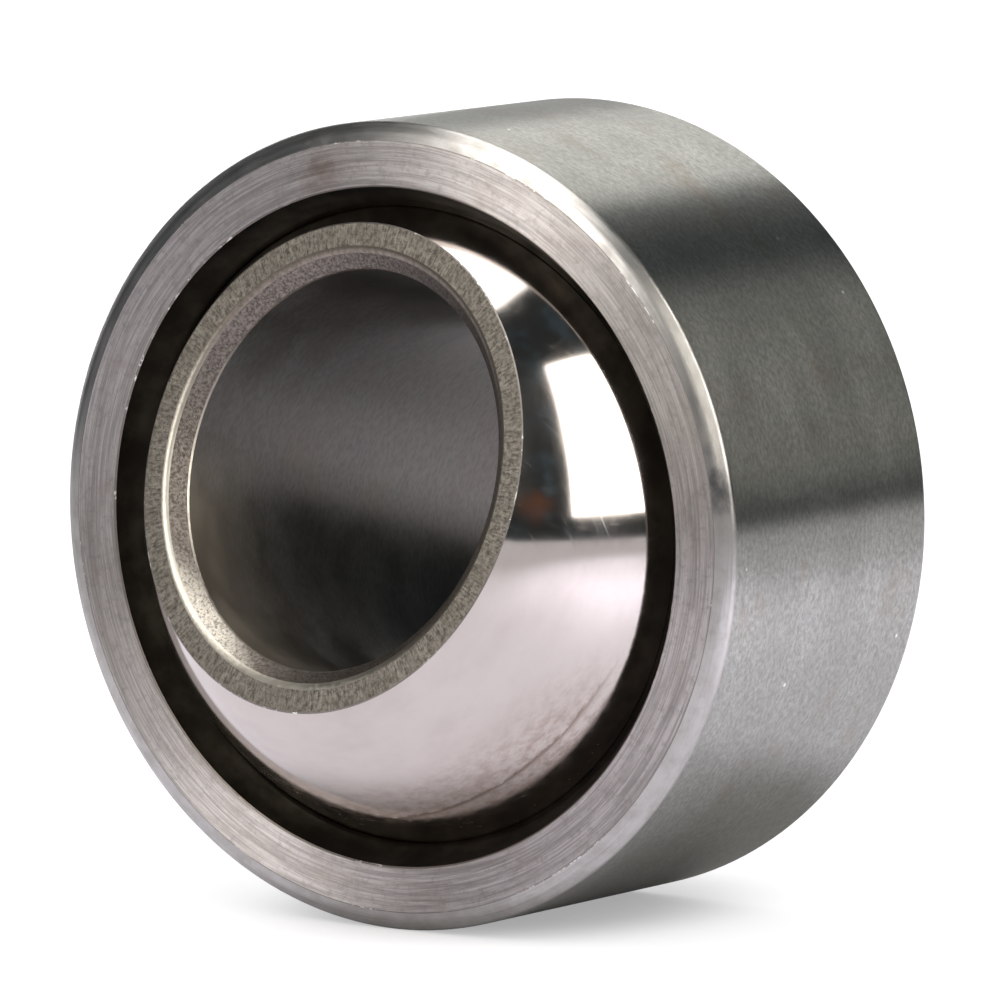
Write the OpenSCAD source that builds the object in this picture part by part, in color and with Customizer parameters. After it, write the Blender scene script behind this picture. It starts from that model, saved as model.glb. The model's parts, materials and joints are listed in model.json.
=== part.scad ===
// Spherical plain bearing: a steel ring closed round a polished ball that has a through bore.
// The outer ring's axis lies along Y, its front face looks to -Y, and the centre of the ball
// is the origin. The ball turns and tilts in the ring, and is shown tilted.

/* [Inner ring] */
// Diameter of the bore for the shaft
bore_d = 20; // [14:0.5:26]
// Width of the inner ring between its two end faces
inner_w = 25; // [21:0.5:32]
// Chamfer at both ends of the bore
bore_chamfer = 0.85; // [0.2:0.05:1.5]
// Width of the flat land between the chamfer and the rim of the ball
end_land = 1.344; // [0.8:0.004:3]

/* [Outer ring] */
// Width of the outer ring between its side faces
outer_w = 18; // [14:0.5:20]
// Thinnest wall, between the seat and the outside, half way along the ring
ring_wall = 2.4975; // [1.5:0.0005:6]
// Radius that rounds the two outside edges
edge_r = 0.95; // [0.3:0.05:1.2]
// Depth of the mouth, from a side face down to the edge of the seat
mouth_depth = 1.45; // [0.6:0.05:2.4]
// Width of the ledge between the edge of the seat and the mouth's wall
mouth_ledge = 0.25; // [0.1:0.05:0.6]
// How much the mouth's wall opens outwards on its way up to the face
mouth_flare = 0.75; // [0.2:0.05:1]

/* [Fit and pose] */
// Running clearance between the ball and its seat, on the radius
ball_clearance = 0.04; // [0.01:0.01:0.1]
// Tilt of the inner ring away from the outer ring's axis, in degrees
tilt = 16.3; // [0:0.1:20]
// Heading of the axis that it tilts about, in degrees from X towards Z
tilt_heading = 24.6; // [0:0.1:360]

/* [Hidden] */
$fn = 180;

bore_r = bore_d / 2;
rim_r = bore_r + bore_chamfer + end_land;
ball_r = sqrt(pow(rim_r, 2) + pow(inner_w / 2, 2));
seat_r = ball_r + ball_clearance;
outer_r = seat_r + ring_wall;
half_w = outer_w / 2;
seat_edge_h = half_w - mouth_depth;
seat_edge_r = sqrt(pow(seat_r, 2) - pow(seat_edge_h, 2));
mouth_foot_r = seat_edge_r + mouth_ledge;
mouth_r = mouth_foot_r + mouth_flare;
tilt_axis = [-cos(tilt_heading), 0, -sin(tilt_heading)];
// Length by which a cut runs past the surface that it opens
overcut = 1;

// Turns a shape made about Z so that its top faces the front, -Y
module facing_front() {
    rotate([90, 0, 0]) children();
}

// Half section of a bar of radius r and width w with both outer edges rounded
module rounded_section(r, w, edge) {
    translate([0, -w / 2]) square([r - edge, w]);
    translate([0, edge - w / 2]) square([r, w - 2 * edge]);
    for (side = [-1, 1])
        translate([r - edge, side * (w / 2 - edge)]) circle(edge);
}

// Cut that opens one side face down to the edge of the seat
module mouth_cut() {
    flare_per_mm = mouth_flare / mouth_depth;
    translate([0, 0, seat_edge_h])
        cylinder(h = mouth_depth + overcut, r1 = mouth_foot_r,
                 r2 = mouth_r + overcut * flare_per_mm);
}

// Cut that chamfers one end of the bore
module chamfer_cut() {
    translate([0, 0, inner_w / 2 - bore_chamfer])
        cylinder(h = bore_chamfer + overcut, r1 = bore_r, r2 = bore_r + bore_chamfer + overcut);
}

module outer_ring() {
    color([0.56, 0.55, 0.55])
        facing_front()
            difference() {
                rotate_extrude() rounded_section(outer_r, outer_w, edge_r);
                sphere(seat_r);
                for (side = [0, 1])
                    mirror([0, 0, side]) mouth_cut();
            }
}

module inner_ring() {
    color([0.78, 0.77, 0.77])
        rotate(a = tilt, v = tilt_axis)
            facing_front()
                difference() {
                    intersection() {
                        sphere(ball_r);
                        cylinder(h = inner_w, r = ball_r + overcut, center = true);
                    }
                    cylinder(h = inner_w + 2 * overcut, r = bore_r, center = true);
                    for (side = [0, 1])
                        mirror([0, 0, side]) chamfer_cut();
                }
}

outer_ring();
inner_ring();
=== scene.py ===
# %% [markdown]
# # A spherical plain bearing
# The bearing is two turned steel pieces. The outer ring is ground outside and turned on its faces. The
# inner ring is a polished ball with a bore through it, and it leans in the outer ring's hollow seat. The
# CAD model fixes the sizes and places, and this lesson gives both rings the finish of real steel.

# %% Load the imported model
import json
import math

import bmesh
import bpy
from mathutils import Matrix, Vector


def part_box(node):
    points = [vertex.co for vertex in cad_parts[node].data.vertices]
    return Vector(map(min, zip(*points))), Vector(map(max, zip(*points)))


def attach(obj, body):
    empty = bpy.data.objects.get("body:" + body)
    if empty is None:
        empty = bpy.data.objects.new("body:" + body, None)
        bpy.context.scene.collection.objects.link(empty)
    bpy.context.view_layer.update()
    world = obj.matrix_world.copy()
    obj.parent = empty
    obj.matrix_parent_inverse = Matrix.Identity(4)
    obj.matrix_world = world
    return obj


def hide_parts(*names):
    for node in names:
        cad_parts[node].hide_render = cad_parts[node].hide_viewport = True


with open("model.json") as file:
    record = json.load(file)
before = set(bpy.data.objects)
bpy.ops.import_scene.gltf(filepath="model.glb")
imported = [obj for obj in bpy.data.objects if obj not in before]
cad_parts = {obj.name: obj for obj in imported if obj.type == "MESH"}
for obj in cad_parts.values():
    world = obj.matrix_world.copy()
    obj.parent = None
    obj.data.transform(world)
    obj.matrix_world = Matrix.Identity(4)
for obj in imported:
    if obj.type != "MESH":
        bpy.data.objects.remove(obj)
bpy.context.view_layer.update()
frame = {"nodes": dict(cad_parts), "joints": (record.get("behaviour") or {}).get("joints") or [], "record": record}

# %% [markdown]
# The main sizes could be typed in again, but two copies of a number drift apart. They are read from the
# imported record's mounts and from the CAD meshes, so the dressed rings follow the solids.

# %% Read the sizes
MM = 0.001
mounts = {mount["name"]: mount for mount in frame["record"]["mounts"]}


def mount_size(name, key):
    """One size of a mount, in metres."""
    return mounts[name]["dims"][key] * MM


outer_r = mount_size("housing_seat", "r_mm")
outer_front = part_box("outer_ring")[0].y
edge_r = -outer_front - mount_size("housing_seat", "length_mm") / 2
bore_r = mount_size("shaft_bore", "r_mm")
bore_axis = Vector(mounts["shaft_bore"]["axis"])
inner_front = -Vector(mounts["inner_front_face"]["pos_m"]).dot(bore_axis)
bore_chamfer = -inner_front - mount_size("shaft_bore", "length_mm") / 2
ball_r = max(v.co.length for v in frame["nodes"]["inner_ring"].data.vertices)
rim_r = math.sqrt(ball_r ** 2 - inner_front ** 2)
tilt = Vector((0, -1, 0)).angle(bore_axis)
to_lean = Matrix.Rotation(tilt, 4, Vector(frame["joints"][0]["axis"]))
print("outside radius %.2f mm, ball radius %.3f mm" % (outer_r / MM, ball_r / MM))
print("inner ring leans %.1f degrees" % math.degrees(tilt))

# %% [markdown]
# The camera stands where the photographer stood: half a metre back with a long lens, a little above the
# bearing and to its right. A long lens keeps the two ends of the ring nearly the same size. Shifting the
# lens would frame the bearing too, but views from other sides would keep that shift, so the camera is
# aimed a hair off the ball's centre instead.

# %% Camera
PHOTO_PX = 1000
FOCAL_PX = 11152
BALL_CENTRE_PX = Vector((494.02, 510.21))
CAMERA_AZIMUTH = 34.545
CAMERA_ELEVATION = 6.73
CAMERA_DISTANCE = 0.5553
SENSOR_MM = 36
NEAR_CLIP = 10 * MM


def direction(azimuth, elevation):
    """Unit vector from the ball's centre: azimuth 0 is towards -Y, 90 towards +X, in degrees."""
    a = math.radians(azimuth)
    e = math.radians(elevation)
    return Vector((math.sin(a) * math.cos(e), -math.cos(a) * math.cos(e), math.sin(e)))


camera_data = bpy.data.cameras.new("photo_camera")
camera = bpy.data.objects.new("photo_camera", camera_data)
bpy.context.scene.collection.objects.link(camera)
bpy.context.scene.camera = camera
camera_data.sensor_width = SENSOR_MM
camera_data.lens = SENSOR_MM * FOCAL_PX / PHOTO_PX
camera_data.clip_start = NEAR_CLIP
back = direction(CAMERA_AZIMUTH, CAMERA_ELEVATION)
right = (-back).cross(Vector((0, 0, 1))).normalized()
up = right.cross(-back)
metres_per_px = CAMERA_DISTANCE / FOCAL_PX
aim = right * (PHOTO_PX / 2 - BALL_CENTRE_PX.x) + up * (BALL_CENTRE_PX.y - PHOTO_PX / 2)
camera.location = back * CAMERA_DISTANCE
camera.rotation_mode = "QUATERNION"
camera.rotation_quaternion = (aim * metres_per_px - camera.location).to_track_quat("-Z", "Y")
print("lens %.0f mm, camera at" % camera_data.lens, camera.location)

# %% [markdown]
# All the surfaces are bare steel. Each finish could have a shader of its own, but one start keeps them
# alike: the same metal shader, with its own colour, roughness and relief. Ground and turned steel also
# stretch a highlight across the marks the tool left, and the Anisotropic setting with a tangent along the
# profile does that. Every finish reads Object coordinates, turned so that Y runs along that ring's axis.

# %% Bare steel
finishes = {}
inner_turn = to_lean.to_3x3().inverted().to_euler()


def make(tree, kind, inputs=None, **settings):
    """Adds a shader node; an input is a number, a colour or another node's output."""
    node = tree.nodes.new("ShaderNode" + kind)
    for key, value in settings.items():
        setattr(node, key, value)
    for key, value in (inputs or {}).items():
        if isinstance(value, bpy.types.NodeSocket):
            tree.links.new(value, node.inputs[key])
        else:
            node.inputs[key].default_value = value
    return node


def steel(name, anisotropic=0.0, turn=None):
    """Starts a bare steel finish; returns its node tree, shader and coordinates in the ring's frame."""
    material = bpy.data.materials.new(name)
    material.use_nodes = True
    tree = material.node_tree
    bsdf = tree.nodes["Principled BSDF"]
    bsdf.inputs["Metallic"].default_value = 1.0
    bsdf.inputs["Anisotropic"].default_value = anisotropic
    if anisotropic:
        lay = make(tree, "Tangent", direction_type="UV_MAP", uv_map="lay")
        tree.links.new(lay.outputs[0], bsdf.inputs["Tangent"])
    point = make(tree, "TexCoord").outputs["Object"]
    if turn is not None:
        point = make(tree, "Mapping", {"Vector": point, "Rotation": turn}).outputs[0]
    finishes[name] = material
    return tree, bsdf, point


def dress(tree, bsdf, colour, roughness):
    """Wires colour and roughness in, and tells how big the recipe is."""
    tree.links.new(colour, bsdf.inputs["Base Color"])
    tree.links.new(roughness, bsdf.inputs["Roughness"])
    print(list(finishes)[-1], "has", len(tree.nodes), "nodes")


print("the inner ring's pattern is turned by", [round(math.degrees(a), 1) for a in inner_turn])

# %% [markdown]
# A finish is layers of noise: each layer decides where one colour gives way to another. The nodes could
# be added one by one in every recipe, but a few helpers keep the recipes short enough to read.

# %% Colour and noise helpers


def math_node(tree, operation, first, second=0.0):
    """One sum; first and second are numbers or node outputs."""
    return make(tree, "Math", {0: first, 1: second}, operation=operation).outputs[0]


def spread(tree, value, low, high, to_low=0.0, to_high=1.0):
    """Maps low..high to to_low..to_high with a soft start and end."""
    settings = {"Value": value, "From Min": low, "From Max": high, "To Min": to_low, "To Max": to_high}
    return make(tree, "MapRange", settings, interpolation_type="SMOOTHSTEP").outputs[0]


def blend(tree, amount, first, second):
    """Mixes two colours, given as (r, g, b) or as a node's output."""
    first = (*first, 1) if isinstance(first, tuple) else first
    second = (*second, 1) if isinstance(second, tuple) else second
    return make(tree, "Mix", {0: amount, 6: first, 7: second}, data_type="RGBA").outputs[2]


def grain(tree, point, scale=(1, 1, 1), detail=2.0, roughness=0.5, shift=0.0, turn=(0, 0, 0)):
    """Noise with a feature size of 1 / scale metres along each axis; turn points it another way."""
    if any(turn):
        point = make(tree, "Mapping", {"Vector": point, "Rotation": turn}).outputs[0]
    placed = make(tree, "Mapping", {"Vector": point, "Scale": scale, "Location": (shift, shift, shift)})
    noise = {"Vector": placed.outputs[0], "Scale": 1.0, "Detail": detail, "Roughness": roughness}
    return make(tree, "TexNoise", noise).outputs["Fac"]


def bump(tree, bsdf, height, depth):
    """Relief of the given depth in metres."""
    relief = make(tree, "Bump", {"Height": height, "Distance": depth, "Strength": 1.0})
    tree.links.new(relief.outputs[0], bsdf.inputs["Normal"])


# %% [markdown]
# The outside is ground between wheels, which leaves short fine streaks round the ring. A photo texture
# would show them too, but it could not follow a size change. Noise that is squeezed along the axis makes
# the streaks, slow noise clouds them, and a few cells of a Voronoi pattern become bright flecks. The
# roughness hardly varies, because where it does, the long highlights break into dark dashes.

# %% Ground outside
GROUND_GREY = (0.47, 0.465, 0.43)
GROUND_PALE = (0.56, 0.555, 0.52)
STREAK_DARK = (0.28, 0.273, 0.25)
TARNISH_BROWN = (0.35, 0.28, 0.215)
FLECK_PALE = (0.95, 0.93, 0.88)
FLECKS_PER_METRE = 420.0
tree, bsdf, point = steel("ground_outside", anisotropic=1.0)
streaks = grain(tree, point, (3200, 5200, 3200), detail=4.0, roughness=0.7)
hairs = grain(tree, point, (1200, 5000, 1200))
clouds = grain(tree, point, (160, 260, 160), detail=4.0, roughness=0.6, shift=3.0)
tarnish = grain(tree, point, (220, 300, 220), detail=3.0, roughness=0.6, shift=9.0)
colour = blend(tree, spread(tree, clouds, 0.3, 0.7), GROUND_GREY, GROUND_PALE)
colour = blend(tree, spread(tree, streaks, 0.3, 0.7, 0.0, 0.8), colour, STREAK_DARK)
colour = blend(tree, spread(tree, tarnish, 0.54, 0.75, 0.0, 0.4), colour, TARNISH_BROWN)
cells = make(tree, "TexVoronoi", {"Vector": point, "Scale": FLECKS_PER_METRE, "Randomness": 1.0})
fleck = spread(tree, cells.outputs["Distance"], 0.03, 0.06, 1.0, 0.0)
fleck = math_node(tree, "MULTIPLY", fleck, spread(tree, clouds, 0.5, 0.56))
colour = blend(tree, fleck, colour, FLECK_PALE)
bump(tree, bsdf, hairs, 0.004 * MM)
dress(tree, bsdf, colour, spread(tree, clouds, 0.3, 0.7, 0.285, 0.305))

# %% [markdown]
# The two flat faces are turned on a lathe, so fine rings run round them and light fans out from the
# middle. A Wave texture draws rings, but evenly spaced ones. Noise in polar coordinates, fine across the
# radius and slow round the circle, gives uneven rings. Fine grit breaks them up, and a small brown stain
# sits near the top, as old oil leaves one.

# %% Turned face
LINE_DARK = (0.4, 0.364, 0.347)
LINE_PALE = (0.66, 0.61, 0.582)
BAND_DARK = (0.34, 0.307, 0.288)
GRIT_DARK = (0.33, 0.295, 0.275)
MOTTLE_TAN = (0.4, 0.34, 0.295)
STAIN_BROWN = (0.19, 0.11, 0.062)
STAIN_AT = (-4.0 * MM, -9.0 * MM, 17.5 * MM)


def turned(tree, point, across, along):
    """A vector for marks that run round the axis: fine across the radius, slow round the circle."""
    flat = make(tree, "VectorMath", {0: point, 1: (1, 0, 1)}, operation="MULTIPLY").outputs[0]
    radius = make(tree, "VectorMath", {0: flat}, operation="LENGTH").outputs["Value"]
    heading = make(tree, "VectorMath", {0: flat}, operation="NORMALIZE").outputs[0]
    slow = make(tree, "VectorMath", {0: heading, "Scale": along}, operation="SCALE").outputs[0]
    fine = make(tree, "CombineXYZ", {"Y": math_node(tree, "MULTIPLY", radius, across)}).outputs[0]
    return make(tree, "VectorMath", {0: slow, 1: fine}, operation="ADD").outputs[0]


def near_spot(tree, point, spot, inner, outer, ragged, amount):
    """amount inside a ragged spot and 0 outside it; inner and outer are its radii in metres."""
    away = make(tree, "VectorMath", {0: point, 1: tuple(spot)}, operation="DISTANCE").outputs["Value"]
    return spread(tree, math_node(tree, "ADD", away, ragged), inner, outer, amount, 0.0)


tree, bsdf, point = steel("turned_face", anisotropic=0.9)
lines = grain(tree, turned(tree, point, 8000, 3.5), detail=5.0, roughness=0.8)
bands = grain(tree, turned(tree, point, 2000, 2.2), detail=3.0, roughness=0.6, shift=5.0)
mottle = grain(tree, point, (600, 600, 600), detail=4.0, roughness=0.6)
grit = grain(tree, point, (2600, 2600, 2600), detail=4.0, roughness=0.7, shift=6.0)
colour = blend(tree, spread(tree, lines, 0.38, 0.62), LINE_DARK, LINE_PALE)
colour = blend(tree, spread(tree, bands, 0.5, 0.66, 0.0, 0.5), colour, BAND_DARK)
colour = blend(tree, spread(tree, grit, 0.48, 0.7, 0.0, 0.5), colour, GRIT_DARK)
colour = blend(tree, spread(tree, mottle, 0.5, 0.75, 0.0, 0.4), colour, MOTTLE_TAN)
ragged = math_node(tree, "MULTIPLY", mottle, 4 * MM)
stain = near_spot(tree, point, STAIN_AT, 1.2 * MM, 3.8 * MM, ragged, 0.75)
colour = blend(tree, stain, colour, STAIN_BROWN)
bump(tree, bsdf, math_node(tree, "ADD", lines, bands), 0.009 * MM)
dress(tree, bsdf, colour, spread(tree, bands, 0.35, 0.65, 0.42, 0.52))

# %% [markdown]
# Where the face meets the outside, the edge is rolled over and a little worn. It could share the face's
# finish, but it is smoother, so the lamps show in it as bright bands. A worn patch is duller, and noise
# puts such patches here and there. One dark patch at a given point is painted shade, ending a lamp's band.

# %% Rounded edge
EDGE_PALE = (0.51, 0.488, 0.468)
EDGE_WORN = (0.42, 0.395, 0.37)
EDGE_HAIR = (0.29, 0.268, 0.248)
EDGE_PAINTED_SHADE = (0.09, 0.09, 0.095)
EDGE_SHADE_AT = (19.3 * MM, -8.85 * MM, 3.0 * MM)
tree, bsdf, point = steel("rounded_edge", anisotropic=0.7)
hairs = grain(tree, turned(tree, point, 9000, 3), detail=3.0, roughness=0.65)
wear = grain(tree, point, (900, 2600, 900), detail=4.0, roughness=0.65, shift=2.0)
colour = blend(tree, spread(tree, wear, 0.35, 0.75), EDGE_PALE, EDGE_WORN)
colour = blend(tree, spread(tree, hairs, 0.5, 0.68, 0.0, 0.35), colour, EDGE_HAIR)
ragged = math_node(tree, "MULTIPLY", wear, 2.5 * MM)
# painted shade: a dark patch that ends a lamp's bright band on the edge
edge_shade = near_spot(tree, point, EDGE_SHADE_AT, 1.2 * MM, 2.8 * MM, ragged, 0.85)
colour = blend(tree, edge_shade, colour, EDGE_PAINTED_SHADE)
bump(tree, bsdf, hairs, 0.008 * MM)
dress(tree, bsdf, colour, spread(tree, wear, 0.3, 0.75, 0.28, 0.4))

# %% [markdown]
# The mouth of the outer ring and the hollow seat behind it are nearly black: the dark colour is partly dirt
# on the machined steel and partly painted shade of the recess. A black paint would look flat, so it stays
# metal with a dark brown colour and faint rings.

# %% Dark mouth and seat
MOUTH_DIRT_AND_SHADE_BLACK = (0.012, 0.0105, 0.008)
MOUTH_DIRT_AND_SHADE_BROWN = (0.03, 0.026, 0.019)
tree, bsdf, point = steel("dark_mouth")
lines = grain(tree, turned(tree, point, 3000, 8), detail=3.0, roughness=0.6)
cloud = grain(tree, point, (350, 350, 350), detail=4.0, roughness=0.6)
# painted shade: the near-black colour is partly dirt and partly the shade of the recess
colour = blend(tree, spread(tree, cloud, 0.35, 0.7), MOUTH_DIRT_AND_SHADE_BLACK, MOUTH_DIRT_AND_SHADE_BROWN)
bump(tree, bsdf, lines, 0.004 * MM)
dress(tree, bsdf, colour, spread(tree, lines, 0.3, 0.7, 0.4, 0.55))

# %% [markdown]
# No real edge is perfectly sharp. Small dents could be cut into the mesh, but they are finer than its
# faces, so narrow bands along the borders carry nicks as colour and relief. They sit only where a slow
# noise is high, because an edge nicked all round looks false.

# %% Broken edges
BORDER_GREY = (0.25, 0.225, 0.205)
NICK_PALE = (0.85, 0.82, 0.77)
tree, bsdf, point = steel("broken_edge")
nicks = grain(tree, point, (1700, 1700, 1700), detail=4.0, roughness=0.75)
where = grain(tree, point, (210, 210, 210), shift=7.0)
nick = math_node(tree, "MULTIPLY", spread(tree, nicks, 0.52, 0.6), spread(tree, where, 0.51, 0.6))
colour = blend(tree, nick, BORDER_GREY, NICK_PALE)
bump(tree, bsdf, nicks, 0.03 * MM)
dress(tree, bsdf, colour, spread(tree, nicks, 0.3, 0.7, 0.5, 0.35))

# %% [markdown]
# The ball is polished, so it mirrors the studio. It isn't perfect: wiping has left hazy smears and hair
# scratches, a rub mark runs near the seat, and a little rust has started beside it. Scratches could be
# relief, but in a mirror they are seen by the light they scatter, so they change only the roughness.

# %% Mirror ball
POLISH_PALE = (0.64, 0.575, 0.535)
POLISH_SMEAR = (0.58, 0.515, 0.48)
RUST_BROWN = (0.36, 0.27, 0.22)
RUB_BROWN = (0.17, 0.115, 0.09)
RUST_Y = (-9.5 * MM, -6.0 * MM)
RUST_Z = (-6.0 * MM, -12.0 * MM)
RUB_LINE_Y = -5.95 * MM
RUB_LINE_WIDTH = 0.17 * MM
RUB_LINE_WANDER = 0.5 * MM
SCRATCH_TURNS = ((0.3, 0.2, 0.5), (1.1, 0.4, 2.0), (2.1, 0.9, 0.2))
tree, bsdf, point = steel("mirror_ball", turn=inner_turn)
smear = grain(tree, point, (180, 420, 180), detail=4.0, roughness=0.6)
dirt = grain(tree, point, (1300, 2600, 1300), detail=5.0, roughness=0.7, shift=4.0)
place = make(tree, "SeparateXYZ", {"Vector": point})
below = spread(tree, place.outputs["Z"], *RUST_Z)
low_seat = math_node(tree, "MULTIPLY", spread(tree, place.outputs["Y"], *RUST_Y), below)
rust = math_node(tree, "MULTIPLY", low_seat, spread(tree, dirt, 0.35, 0.7, 0.2, 1.0))
colour = blend(tree, spread(tree, smear, 0.35, 0.7), POLISH_PALE, POLISH_SMEAR)
colour = blend(tree, math_node(tree, "MULTIPLY", rust, 0.8), colour, RUST_BROWN)
wander = math_node(tree, "MULTIPLY", math_node(tree, "SUBTRACT", dirt, 0.5), RUB_LINE_WANDER)
off_line = math_node(tree, "SUBTRACT", math_node(tree, "ADD", place.outputs["Y"], wander), RUB_LINE_Y)
line = spread(tree, math_node(tree, "ABSOLUTE", off_line), 0.0, RUB_LINE_WIDTH, 1.0, 0.0)
line = math_node(tree, "MULTIPLY", math_node(tree, "MULTIPLY", line, below), spread(tree, dirt, 0.25, 0.5))
colour = blend(tree, math_node(tree, "MULTIPLY", line, 0.65), colour, RUB_BROWN)
haze = spread(tree, smear, 0.35, 0.75, 0.08, 0.13)
for turn in SCRATCH_TURNS:
    scratch = grain(tree, point, (420, 600, 16000), detail=1.0, shift=turn[0], turn=turn)
    haze = math_node(tree, "ADD", haze, spread(tree, scratch, 0.66, 0.78, 0.0, 0.055))
haze = math_node(tree, "ADD", haze, math_node(tree, "MULTIPLY", rust, 0.15))
dress(tree, bsdf, colour, haze)

# %% [markdown]
# The inner ring's end faces are matt, as blasting or a coarse wheel leaves them. Relief alone would show
# the grit from some sides only. Here fine grit and short strokes that point outward give the colour and
# the relief together: the low parts are darker, painted shade in the dimples, so they look deep from all sides.

# %% Matt end face
MATT_DARK_AND_DIMPLE_SHADE = (0.125, 0.108, 0.089)
MATT_PALE = (0.42, 0.38, 0.325)
MATT_MOTTLE = (0.19, 0.167, 0.137)
STROKE_SHARE = 0.35
tree, bsdf, point = steel("matt_end", turn=inner_turn)
grit = grain(tree, point, (3600, 3600, 3600), detail=5.0, roughness=0.75)
strokes = grain(tree, turned(tree, point, 1500, 110), detail=3.0, roughness=0.6)
mottle = grain(tree, point, (900, 900, 900), detail=3.0, roughness=0.6)
rough = make(tree, "Mix", {0: STROKE_SHARE, 2: grit, 3: strokes}).outputs[0]
# painted shade: the grit's low parts, its dimples, take the dark colour, besides the grit's own tone
colour = blend(tree, spread(tree, rough, 0.38, 0.62), MATT_DARK_AND_DIMPLE_SHADE, MATT_PALE)
colour = blend(tree, spread(tree, mottle, 0.4, 0.7, 0.0, 0.35), colour, MATT_MOTTLE)
bump(tree, bsdf, rough, 0.03 * MM)
dress(tree, bsdf, colour, spread(tree, grit, 0.3, 0.7, 0.6, 0.5))

# %% [markdown]
# The bore opens with a chamfer, and the corner between chamfer and end face is rubbed round. One finish
# could cover both, but the lip is paler and smoother and the chamfer stays gritty and brown, so there are
# two. On one side both carry a painted highlight, where the lamps show in them.

# %% Bore lip
LIT_SIDE_HEADING = 230
LIP_PAINTED_HIGHLIGHT = (0.6, 0.55, 0.475)
LIP_TAN = (0.3, 0.255, 0.215)
LIP_BROWN = (0.2, 0.168, 0.14)


def lit_side(tree, point, start, end):
    """1 on the side of the bore where the lamps' highlight and reflection are painted; start and end are shares of
    the bore's radius.
    """
    turn = math.radians(LIT_SIDE_HEADING)
    way = (math.cos(turn), 0, math.sin(turn))
    reach = make(tree, "VectorMath", {0: point, 1: way}, operation="DOT_PRODUCT").outputs["Value"]
    return spread(tree, reach, start * bore_r, end * bore_r)


tree, bsdf, point = steel("bore_lip", turn=inner_turn)
grit = grain(tree, point, (4000, 4000, 4000), detail=3.0, roughness=0.6)
colour = blend(tree, spread(tree, grit, 0.35, 0.7), LIP_TAN, LIP_BROWN)
# painted highlight: the lit side of the lip is pale where the lamps show in it
colour = blend(tree, lit_side(tree, point, -0.1, 0.8), colour, LIP_PAINTED_HIGHLIGHT)
bump(tree, bsdf, grit, 0.015 * MM)
dress(tree, bsdf, colour, spread(tree, grit, 0.3, 0.7, 0.34, 0.44))

# %% [markdown]
# The chamfer is brown and gritty, as a cutting tool leaves it. On one side it carries a painted highlight
# where the overhead lamp shows in it, laid only on the high parts of the grit noise so that it isn't even.

# %% Bore chamfer
CHAMFER_DARK = (0.1, 0.083, 0.072)
CHAMFER_TAN = (0.27, 0.237, 0.21)
BARE_PALE = (0.6, 0.545, 0.475)
tree, bsdf, point = steel("bore_chamfer", turn=inner_turn)
grit = grain(tree, point, (6500, 6500, 6500), detail=4.0, roughness=0.7)
colour = blend(tree, spread(tree, grit, 0.34, 0.66), CHAMFER_DARK, CHAMFER_TAN)
speckle = spread(tree, grit, 0.32, 0.56, 0.3, 1.0)
# painted highlight: on the lit side the high parts of the grit are pale, where the overhead lamp shows
bare = math_node(tree, "MULTIPLY", lit_side(tree, point, 0.95, 1.05), speckle)
colour = blend(tree, bare, colour, BARE_PALE)
bump(tree, bsdf, grit, 0.03 * MM)
dress(tree, bsdf, colour, spread(tree, grit, 0.3, 0.7, 0.46, 0.34))

# %% [markdown]
# The bore is honed to a satin, and its colour is darker than the outside. A plain dark colour would look
# empty. Fine streaks round the wall and slow brown clouds fill it, and on one side near the mouth a paler
# tone is a painted reflection of the chamfer and edge.

# %% Satin bore
SATIN_BROWN = (0.17, 0.155, 0.137)
SATIN_GREY = (0.215, 0.203, 0.192)
SATIN_STREAK = (0.1, 0.092, 0.078)
BORE_PAINTED_REFLECTION = (0.42, 0.36, 0.29)
BORE_REFLECTION_Y = (-11.5 * MM, -5.0 * MM)
tree, bsdf, point = steel("satin_bore", anisotropic=0.8, turn=inner_turn)
streaks = grain(tree, point, (2600, 6000, 2600), detail=3.0, roughness=0.6)
mottle = grain(tree, point, (260, 420, 260), detail=4.0, roughness=0.6)
colour = blend(tree, spread(tree, mottle, 0.3, 0.7), SATIN_BROWN, SATIN_GREY)
colour = blend(tree, spread(tree, streaks, 0.35, 0.7, 0.0, 0.4), colour, SATIN_STREAK)
depth = make(tree, "SeparateXYZ", {"Vector": point}).outputs["Y"]
near_mouth = spread(tree, depth, *BORE_REFLECTION_Y, 0.8, 0.0)
# painted reflection: one side of the bore is paler near the mouth, where it mirrors the chamfer and edge
bore_reflection = math_node(tree, "MULTIPLY", near_mouth, lit_side(tree, point, 0.5, 0.95))
colour = blend(tree, bore_reflection, colour, BORE_PAINTED_REFLECTION)
bump(tree, bsdf, streaks, 0.0025 * MM)
dress(tree, bsdf, colour, spread(tree, mottle, 0.3, 0.7, 0.32, 0.4))

# %% [markdown]
# Each ring is turned on a lathe, so its mesh is a profile spun about the ring's axis. The profile is a
# list of bands, one for each finish. A profile in one chain would be shorter, but a band that is spun by
# itself and then welded to its neighbours keeps a crisp border between two finishes.

# %% Profile helpers


def arc(centre, radius, start, end, steps):
    """Points (r, y) on a circle in the half plane, from start to end in degrees."""
    angles = [math.radians(start + (end - start) * i / steps) for i in range(steps + 1)]
    return [(centre[0] + radius * math.cos(a), centre[1] + radius * math.sin(a)) for a in angles]


def fillet(before, corner, after, radius, steps):
    """Points that round off a corner of a profile."""
    corner = Vector(corner)
    to_before = (Vector(before) - corner).normalized()
    to_after = (Vector(after) - corner).normalized()
    half = to_before.angle(to_after) / 2
    centre = corner + (to_before + to_after).normalized() * radius / math.sin(half)
    first = corner + to_before * radius / math.tan(half) - centre
    last = corner + to_after * radius / math.tan(half) - centre
    sweep = math.pi - 2 * half
    shares = [i / steps for i in range(steps + 1)]
    mixed = [first * math.sin((1 - s) * sweep) + last * math.sin(s * sweep) for s in shares]
    return [tuple(centre + way / math.sin(sweep)) for way in mixed]


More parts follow.
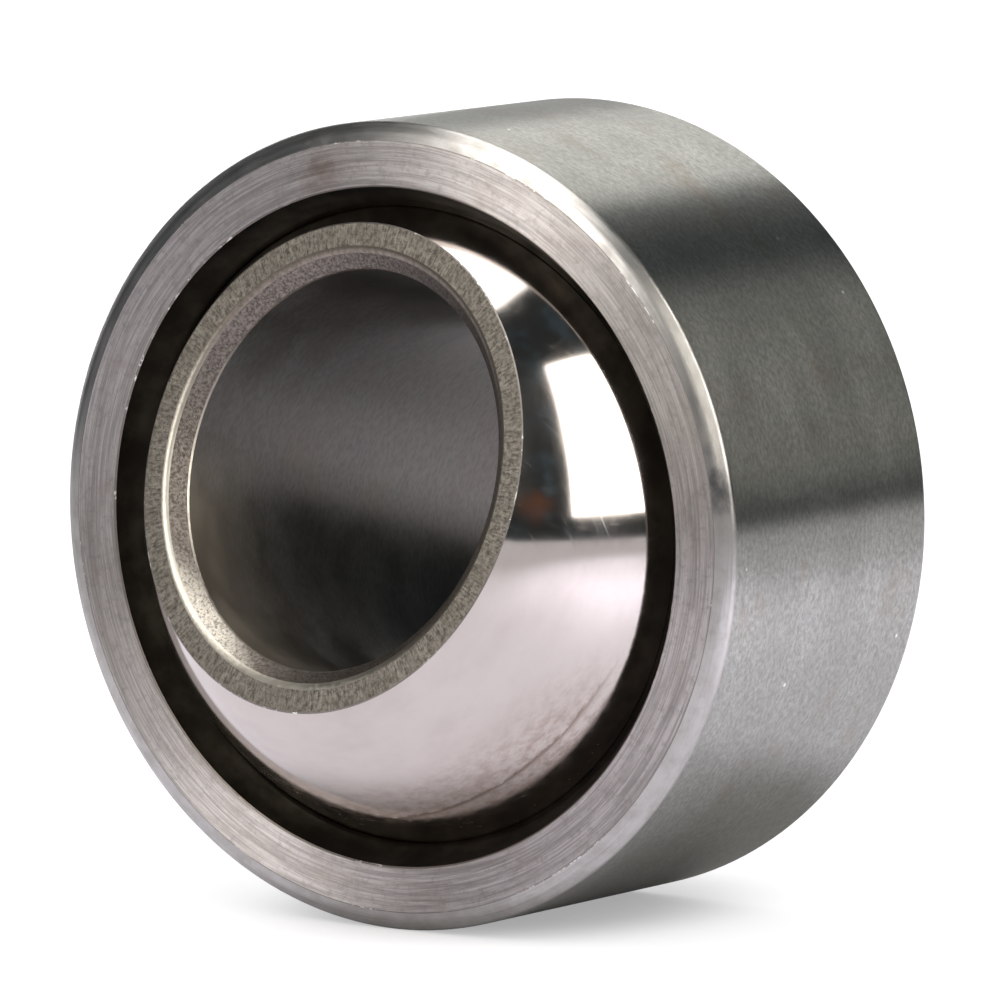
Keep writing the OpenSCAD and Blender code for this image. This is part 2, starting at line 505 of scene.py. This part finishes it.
def both_ends(bands):
    """The same bands at the front and, mirrored, at the back."""
    return bands + [(finish, [(r, -y) for r, y in points]) for finish, points in bands]


print("a quarter arc in 2 steps:", [(round(r, 3), round(y, 3)) for r, y in arc((0, 0), 1, 0, 90, 2)])

# %% [markdown]
# The spin operator turns a band about the axis. Each band also gets a UV map with U along the profile and
# V round the ring, and the tangent for the stretched highlights comes from it. A Screw modifier would
# spin as well, but it would not give every band its own material and map.

# %% Turning helpers
TURN_STEPS = 192
WELD_DISTANCE = 0.002 * MM


def spin_band(bm, points, slot):
    """Spins one band about Y and lays its UV map: U along the profile in mm, V round the ring."""
    start = len(bm.faces)
    verts = [bm.verts.new((r, y, 0)) for r, y in points]
    edges = [bm.edges.new(pair) for pair in zip(verts, verts[1:])]
    bmesh.ops.spin(bm, geom=verts + edges, cent=(0, 0, 0), axis=(0, 1, 0), angle=2 * math.pi,
                   steps=TURN_STEPS, use_merge=True)
    chord = (Vector(points[-1]) - Vector(points[0])).normalized()
    lay = bm.loops.layers.uv["lay"]
    for face in list(bm.faces)[start:]:
        face.material_index = slot
        face.smooth = True
        middle = face.calc_center_median()
        middle_turn = math.atan2(middle.z, middle.x)
        for loop in face.loops:
            co = loop.vert.co
            turn = math.atan2(co.z, co.x)
            turn += 2 * math.pi * round((middle_turn - turn) / (2 * math.pi))
            loop[lay].uv = (chord.dot(Vector((math.hypot(co.x, co.z), co.y))) / MM, turn)


def turned_piece(name, bands):
    """Welds the spun bands into one closed piece with a material slot for each finish."""
    names = list(dict.fromkeys(finish for finish, points in bands))
    bm = bmesh.new()
    bm.loops.layers.uv.new("lay")
    for finish, points in bands:
        spin_band(bm, points, names.index(finish))
    bmesh.ops.remove_doubles(bm, verts=bm.verts, dist=WELD_DISTANCE)
    bmesh.ops.recalc_face_normals(bm, faces=bm.faces)
    for edge in bm.edges:
        edge.smooth = len({face.material_index for face in edge.link_faces}) == 1
    open_edges = sum(1 for edge in bm.edges if len(edge.link_faces) != 2)
    mesh = bpy.data.meshes.new(name)
    bm.to_mesh(mesh)
    bm.free()
    for finish in names:
        mesh.materials.append(finishes[finish])
    piece = bpy.data.objects.new(name, mesh)
    bpy.context.scene.collection.objects.link(piece)
    print(name, "faces", len(mesh.polygons), "open edges", open_edges)
    return piece


# %% [markdown]
# The outer ring's profile runs from the ground outside over the rolled edge to the turned face, then down
# the dark mouth to the hollow seat. The CAD edge is a plain quarter round, and a bevel would give that.
# Here it is drawn as it looks in the photo, within 0.08 mm of that round: a tighter shoulder, then a
# flatter slope that eases into the face.

# %% Outer ring profile
MOUTH_DEPTH = 1.45 * MM
MOUTH_LEDGE = 0.25 * MM
MOUTH_FLARE = 0.75 * MM
SEAT_CLEARANCE = 0.04 * MM
SEAT_STEPS = 12
EDGE_BREAK = 0.08 * MM
SHOULDER_DROP = 0.47 * MM
SHOULDER_R = 0.32 * MM
SHOULDER_STEPS = 8
KNEE_IN = 0.47 * MM
KNEE_DROP = 0.115 * MM
KNEE_R = 0.9 * MM
KNEE_STEPS = 5
seat_r = ball_r + SEAT_CLEARANCE
seat_y = outer_front + MOUTH_DEPTH
seat_edge_r = math.sqrt(seat_r ** 2 - seat_y ** 2)
seat_angle = math.degrees(math.asin(seat_y / seat_r))
foot_r = seat_edge_r + MOUTH_LEDGE
mouth_r = foot_r + MOUTH_FLARE
shoulder = (outer_r, outer_front + SHOULDER_DROP)
knee = (outer_r - KNEE_IN, outer_front + KNEE_DROP)
face_edge = (outer_r - edge_r, outer_front)
edge = fillet((outer_r, 0), shoulder, knee, SHOULDER_R, SHOULDER_STEPS)
edge += fillet(shoulder, knee, face_edge, KNEE_R, KNEE_STEPS)
edge += [tuple(Vector(face_edge).lerp(Vector(knee), EDGE_BREAK / edge_r))]
print("mouth radius %.2f mm, the worn edge has %d points" % (mouth_r / MM, len(edge)))

# %% [markdown]
# One end's bands, mirrored for the back, close the ring together with the outside and the seat. The
# finished piece could be laid over the plain CAD ring, but two surfaces in one place would flicker, so it
# takes that ring's place and rides on the same body.

# %% Outer ring
outer_end = [
    ("rounded_edge", edge),
    ("broken_edge", [edge[-1], face_edge]),
    ("turned_face", [face_edge, (mouth_r + EDGE_BREAK, outer_front)]),
    ("broken_edge", [(mouth_r + EDGE_BREAK, outer_front), (mouth_r, outer_front + EDGE_BREAK)]),
    ("dark_mouth", [(mouth_r, outer_front + EDGE_BREAK), (foot_r, seat_y), (seat_edge_r, seat_y)]),
]
outer_bands = [("ground_outside", [edge[0], (outer_r, -edge[0][1])])] + both_ends(outer_end)
outer_bands += [("dark_mouth", arc((0, 0), seat_r, seat_angle, -seat_angle, SEAT_STEPS))]
outer_piece = turned_piece("outer_ring_turned", outer_bands)
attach(outer_piece, "outer_ring")
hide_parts("outer_ring")

# %% [markdown]
# The inner ring's profile is the bore, its chamfer and rubbed lip, the matt end face and then the long
# arc of the ball. It could be spun about the leaning axis, but the profile is easier to write straight. So
# it is spun straight, like the outer ring, and the mesh is leaned afterwards by the same turn that the CAD
# model has. The object itself stays unturned at the origin.

# %% Inner ring
RIM_BREAK = 0.035 * MM
LIP_R = 0.5 * MM
LIP_STEPS = 6
BORE_BREAK = 0.05 * MM
BALL_STEPS = 48
rim_angle = math.degrees(math.asin((inner_front + RIM_BREAK) / ball_r))
rim_start = (ball_r * math.cos(math.radians(rim_angle)), inner_front + RIM_BREAK)
bore_end = inner_front + bore_chamfer
bore_edge = (bore_r, bore_end + BORE_BREAK)
chamfer_end = (bore_r + BORE_BREAK, bore_end - BORE_BREAK)
lip_corner = (bore_r + bore_chamfer, inner_front)
lip = fillet((bore_r, bore_end), lip_corner, (rim_r, inner_front), LIP_R, LIP_STEPS)
inner_end = [
    ("bore_lip", [bore_edge, chamfer_end]),
    ("bore_chamfer", [chamfer_end, lip[0]]),
    ("bore_lip", lip),
    ("matt_end", [lip[-1], (rim_r - RIM_BREAK, inner_front)]),
    ("broken_edge", [(rim_r - RIM_BREAK, inner_front), rim_start]),
]
inner_bands = [("satin_bore", [bore_edge, (bore_r, -bore_edge[1])])] + both_ends(inner_end)
inner_bands += [("mirror_ball", arc((0, 0), ball_r, rim_angle, -rim_angle, BALL_STEPS))]
inner_piece = turned_piece("inner_ring_turned", inner_bands)
inner_piece.data.transform(to_lean)
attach(inner_piece, "inner_ring")
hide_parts("inner_ring")

# %% [markdown]
# Polished steel looks like the room around it, so the studio is part of the likeness. The photo's mirror
# images suggest what stood there: a white sweep below and behind, a long soft lamp overhead, one at the
# front left, a small one above the camera, a low one at the back, a tall window of light at the right and
# dark cloth in between. These things are stage, so they aren't part of the bearing.

# %% Stage helpers


def stage_object(name, bm, material):
    """A mesh that only serves the picture."""
    mesh = bpy.data.meshes.new(name)
    bm.to_mesh(mesh)
    bm.free()
    mesh.materials.append(material)
    thing = bpy.data.objects.new(name, mesh)
    bpy.context.scene.collection.objects.link(thing)
    print("stage:", name, "faces", len(mesh.polygons))
    return thing


def seen_directly(tree):
    """Two switches: 1 for what the camera sees straight, and 1 for what it sees in metal or glass."""
    path = make(tree, "LightPath")
    mirrored = math_node(tree, "ADD", path.outputs["Is Glossy Ray"], path.outputs["Is Transmission Ray"])
    return path.outputs["Is Camera Ray"], math_node(tree, "MINIMUM", mirrored, 1.0)


def stage_material(name, colour):
    """A matt cloth with a glow whose strength is set later."""
    material = bpy.data.materials.new(name)
    material.use_nodes = True
    tree = material.node_tree
    tree.nodes.remove(tree.nodes["Principled BSDF"])
    cloth = make(tree, "BsdfDiffuse", {"Color": (*colour, 1)})
    glow = make(tree, "Emission")
    both = make(tree, "AddShader", {0: cloth.outputs[0], 1: glow.outputs[0]})
    tree.links.new(both.outputs[0], tree.nodes["Material Output"].inputs["Surface"])
    return material, tree, glow


# %% [markdown]
# The floor is a pale matt sheet. More lamps would make it white but would burn the steel, so it glows a
# little for the camera instead. Close to the ring that glow fades, which paints a contact shadow over the
# real one. The mirror images see another glow: weaker, with a painted shadow under the ring, brightest round
# it and fainter far off, and with a painted pool of light towards the window.

# %% Floor glow
FLOOR_GREY = (0.56, 0.56, 0.56)
CAMERA_GLOW = 0.7
SHADOW_GLOW = 0.36
MIRROR_GLOW = 0.55
MIRROR_TINT = (1.0, 0.98, 1.14)
FAR_SHARE = 0.33
WINDOW_POOL = 0.75
WINDOW_POOL_AT = (90 * MM, -20 * MM)
METRE = (1, 1)
IGNORE_HEIGHT = 1e9
floor_material, tree, glow = stage_material("pale_floor", FLOOR_GREY)


def clear_of(tree, centre, size, start, end):
    """0 inside an oval on the floor and 1 clear of it; start and end are shares of its size."""
    spot = make(tree, "TexCoord").outputs["Object"]
    spot = make(tree, "VectorMath", {0: spot, 1: (*centre, 0)}, operation="SUBTRACT").outputs[0]
    spot = make(tree, "VectorMath", {0: spot, 1: (*size, IGNORE_HEIGHT)}, operation="DIVIDE").outputs[0]
    away = make(tree, "VectorMath", {0: spot}, operation="LENGTH").outputs["Value"]
    return spread(tree, away, start, end)


straight, mirrored = seen_directly(tree)
# painted shadow: the camera's glow is weaker in an oval round the contact
outside = clear_of(tree, centre=(0, 2 * MM), size=(10 * MM, 12 * MM), start=0.4, end=1.6)
for_camera = spread(tree, outside, 0.0, 1.0, SHADOW_GLOW, CAMERA_GLOW)
# painted shadow and painted light for the mirror images: no glow under the ring, more round it, less far off
under = clear_of(tree, centre=(1 * MM, 5 * MM), size=(16 * MM, 13 * MM), start=1.0, end=1.5)
far = clear_of(tree, centre=(0, 0), size=METRE, start=0.04, end=0.13)
pool = math_node(tree, "MULTIPLY", under, spread(tree, far, 0.0, 1.0, 1.0, FAR_SHARE))
# painted pool of light towards the window, seen only in the steel
past_window = clear_of(tree, centre=WINDOW_POOL_AT, size=METRE, start=0.015, end=0.08)
window_pool = spread(tree, past_window, 0.0, 1.0, WINDOW_POOL, 0.0)
for_mirror = math_node(tree, "ADD", math_node(tree, "MULTIPLY", pool, MIRROR_GLOW), window_pool)
for_camera = math_node(tree, "MULTIPLY", for_camera, straight)
for_mirror = math_node(tree, "MULTIPLY", for_mirror, mirrored)
tree.links.new(math_node(tree, "ADD", for_camera, for_mirror), glow.inputs["Strength"])
tree.links.new(blend(tree, mirrored, (1, 1, 1), MIRROR_TINT), glow.inputs["Color"])
print("pale_floor has", len(tree.nodes), "nodes")

# %% [markdown]
# The sheet itself is one flat disc under the ring. A curved sweep would hide the horizon, but the camera
# looks down enough for the disc to fill the picture behind the ring.

# %% Floor
FLOOR_R = 3.0
FLOOR_SIDES = 96
floor_place = Matrix.Translation((0, 0, -outer_r))
bm = bmesh.new()
bmesh.ops.create_circle(bm, cap_ends=True, radius=FLOOR_R, segments=FLOOR_SIDES, matrix=floor_place)
stage_object("floor", bm, floor_material)

# %% [markdown]
# The dark shapes in the steel are dark cloth round the set. A dark world would show in the steel too, but
# it would also darken the floor. Only mirror rays see this cloth, so it throws no shadow on the floor.

# %% Dark cloth
TENT_R = 0.36
CLOTH_GREY = (0.02, 0.02, 0.02)
CLOTH_DARK = (0.011, 0.0155, 0.0155)
CLOTH_BLUE = (0.06, 0.1, 0.13)
CLOTH_WARM = (0.13, 0.055, 0.028)
WARM_AT = direction(48, 8) * TENT_R
tent_material, tree, glow = stage_material("dark_cloth", CLOTH_GREY)
place = make(tree, "TexCoord").outputs["Object"]
cloud = grain(tree, place, (22, 22, 22), detail=4.0, roughness=0.6)
colour = blend(tree, spread(tree, cloud, 0.45, 0.75), CLOTH_DARK, CLOTH_BLUE)
ragged = math_node(tree, "MULTIPLY", cloud, 50 * MM)
warm = near_spot(tree, place, WARM_AT, 30 * MM, 70 * MM, ragged, 0.8)
tree.links.new(blend(tree, warm, colour, CLOTH_WARM), glow.inputs["Color"])
mirrored = seen_directly(tree)[1]
tree.links.new(mirrored, glow.inputs["Strength"])
print("dark_cloth has", len(tree.nodes), "nodes")

# %% [markdown]
# The cloth hangs as a tent. Flat cards would leave cracks between them, so it is a sphere round a point on
# the floor, without the faces below the floor. It also opens at the back, where the white sweep shows along
# the top of the ring.

# %% Dark tent
TENT_SIDES = 96
TENT_RINGS = 48
GAP_FROM = -172
GAP_TO = -106
GAP_TOP = 34


def in_gap(place):
    """True where the tent is left open, at the back and below the floor."""
    azimuth = math.degrees(math.atan2(place.x, -place.y))
    elevation = math.degrees(math.asin(place.z / place.length))
    return place.z < -outer_r or (GAP_FROM < azimuth < GAP_TO and elevation < GAP_TOP)


bm = bmesh.new()
bmesh.ops.create_uvsphere(bm, u_segments=TENT_SIDES, v_segments=TENT_RINGS, radius=TENT_R,
                          matrix=floor_place)
gap = [face for face in bm.faces if in_gap(face.calc_center_median())]
bmesh.ops.delete(bm, geom=gap, context="FACES")
tent = stage_object("dark_tent", bm, tent_material)
tent.visible_camera = False
tent.visible_diffuse = False
tent.visible_shadow = False

# %% [markdown]
# Soft lamps are area lights. Their size sets how wide a highlight is, and their radiance how bright, where
# 1 is white. Glowing cards would show in the steel as well, but lamps give less noise. They are there for
# the mirror images alone: the plain white surroundings light the floor, so the shadow stays soft.

# %% Softboxes
WATTS_FOR_WHITE = 4
OVER_AT = Vector((-0.027, -0.08, 0.24))
BACK_AT = direction(-130, 4) * 0.34
WINDOW_AT = Vector((0.185, -0.063, 0.136))
WINDOW_FACING = -direction(73, 0)
FRONT_AT = direction(-17, 28) * 0.27
CAMERA_LAMP_AT = direction(31.5, 22) * 0.3


def softbox(name, centre, facing, size, radiance, colour):
    """An area light of an even radiance that only polished surfaces show; size is width and height."""
    light = bpy.data.lights.new(name, "AREA")
    light.shape = "RECTANGLE"
    light.size, light.size_y = size
    light.energy = radiance * WATTS_FOR_WHITE * size[0] * size[1]
    light.color = colour
    lamp = bpy.data.objects.new(name, light)
    bpy.context.scene.collection.objects.link(lamp)
    lamp.location = centre
    lamp.rotation_mode = "QUATERNION"
    lamp.rotation_quaternion = facing.to_track_quat("-Z", "Y")
    lamp.visible_camera = False
    lamp.visible_diffuse = False
    print(name, "%.0f x %.0f mm, radiance %.1f" % (size[0] / MM, size[1] / MM, radiance))


softbox("overhead_softbox", OVER_AT, Vector((0, 0, -1)), size=(0.146, 0.42), radiance=2.3,
        colour=(1, 0.995, 0.97))
softbox("back_softbox", BACK_AT, -BACK_AT, size=(0.17, 0.07), radiance=3.2, colour=(1, 1, 0.98))
softbox("window_softbox", WINDOW_AT, WINDOW_FACING, size=(0.085, 0.243), radiance=4.0,
        colour=(1, 0.98, 0.93))
softbox("front_softbox", FRONT_AT, -FRONT_AT, size=(0.115, 0.165), radiance=3.4, colour=(1, 0.985, 0.95))
softbox("camera_softbox", CAMERA_LAMP_AT, -CAMERA_LAMP_AT, size=(0.073, 0.16), radiance=2.3,
        colour=(1, 0.97, 0.9))

# %% [markdown]
# The world is plain white. A picture of a studio could light the set, but plain white keeps the shadow
# even all round. The camera and the mirror images see it at full strength, and the light that falls on
# the floor is a little weaker. The Standard view shows colours as they are written.

# %% World
AMBIENT = 0.9
world = bpy.data.worlds.new("studio")
bpy.context.scene.world = world
world.use_nodes = True
tree = world.node_tree
straight, mirrored = seen_directly(tree)
seen = math_node(tree, "MINIMUM", math_node(tree, "ADD", straight, mirrored), 1.0)
level = make(tree, "MapRange", {"Value": seen, "To Min": AMBIENT, "To Max": 1.0})
tree.links.new(level.outputs[0], tree.nodes["Background"].inputs["Strength"])
tree.nodes["Background"].inputs["Color"].default_value = (1, 1, 1, 1)
bpy.context.scene.view_settings.view_transform = "Standard"
print("view:", bpy.context.scene.view_settings.view_transform)
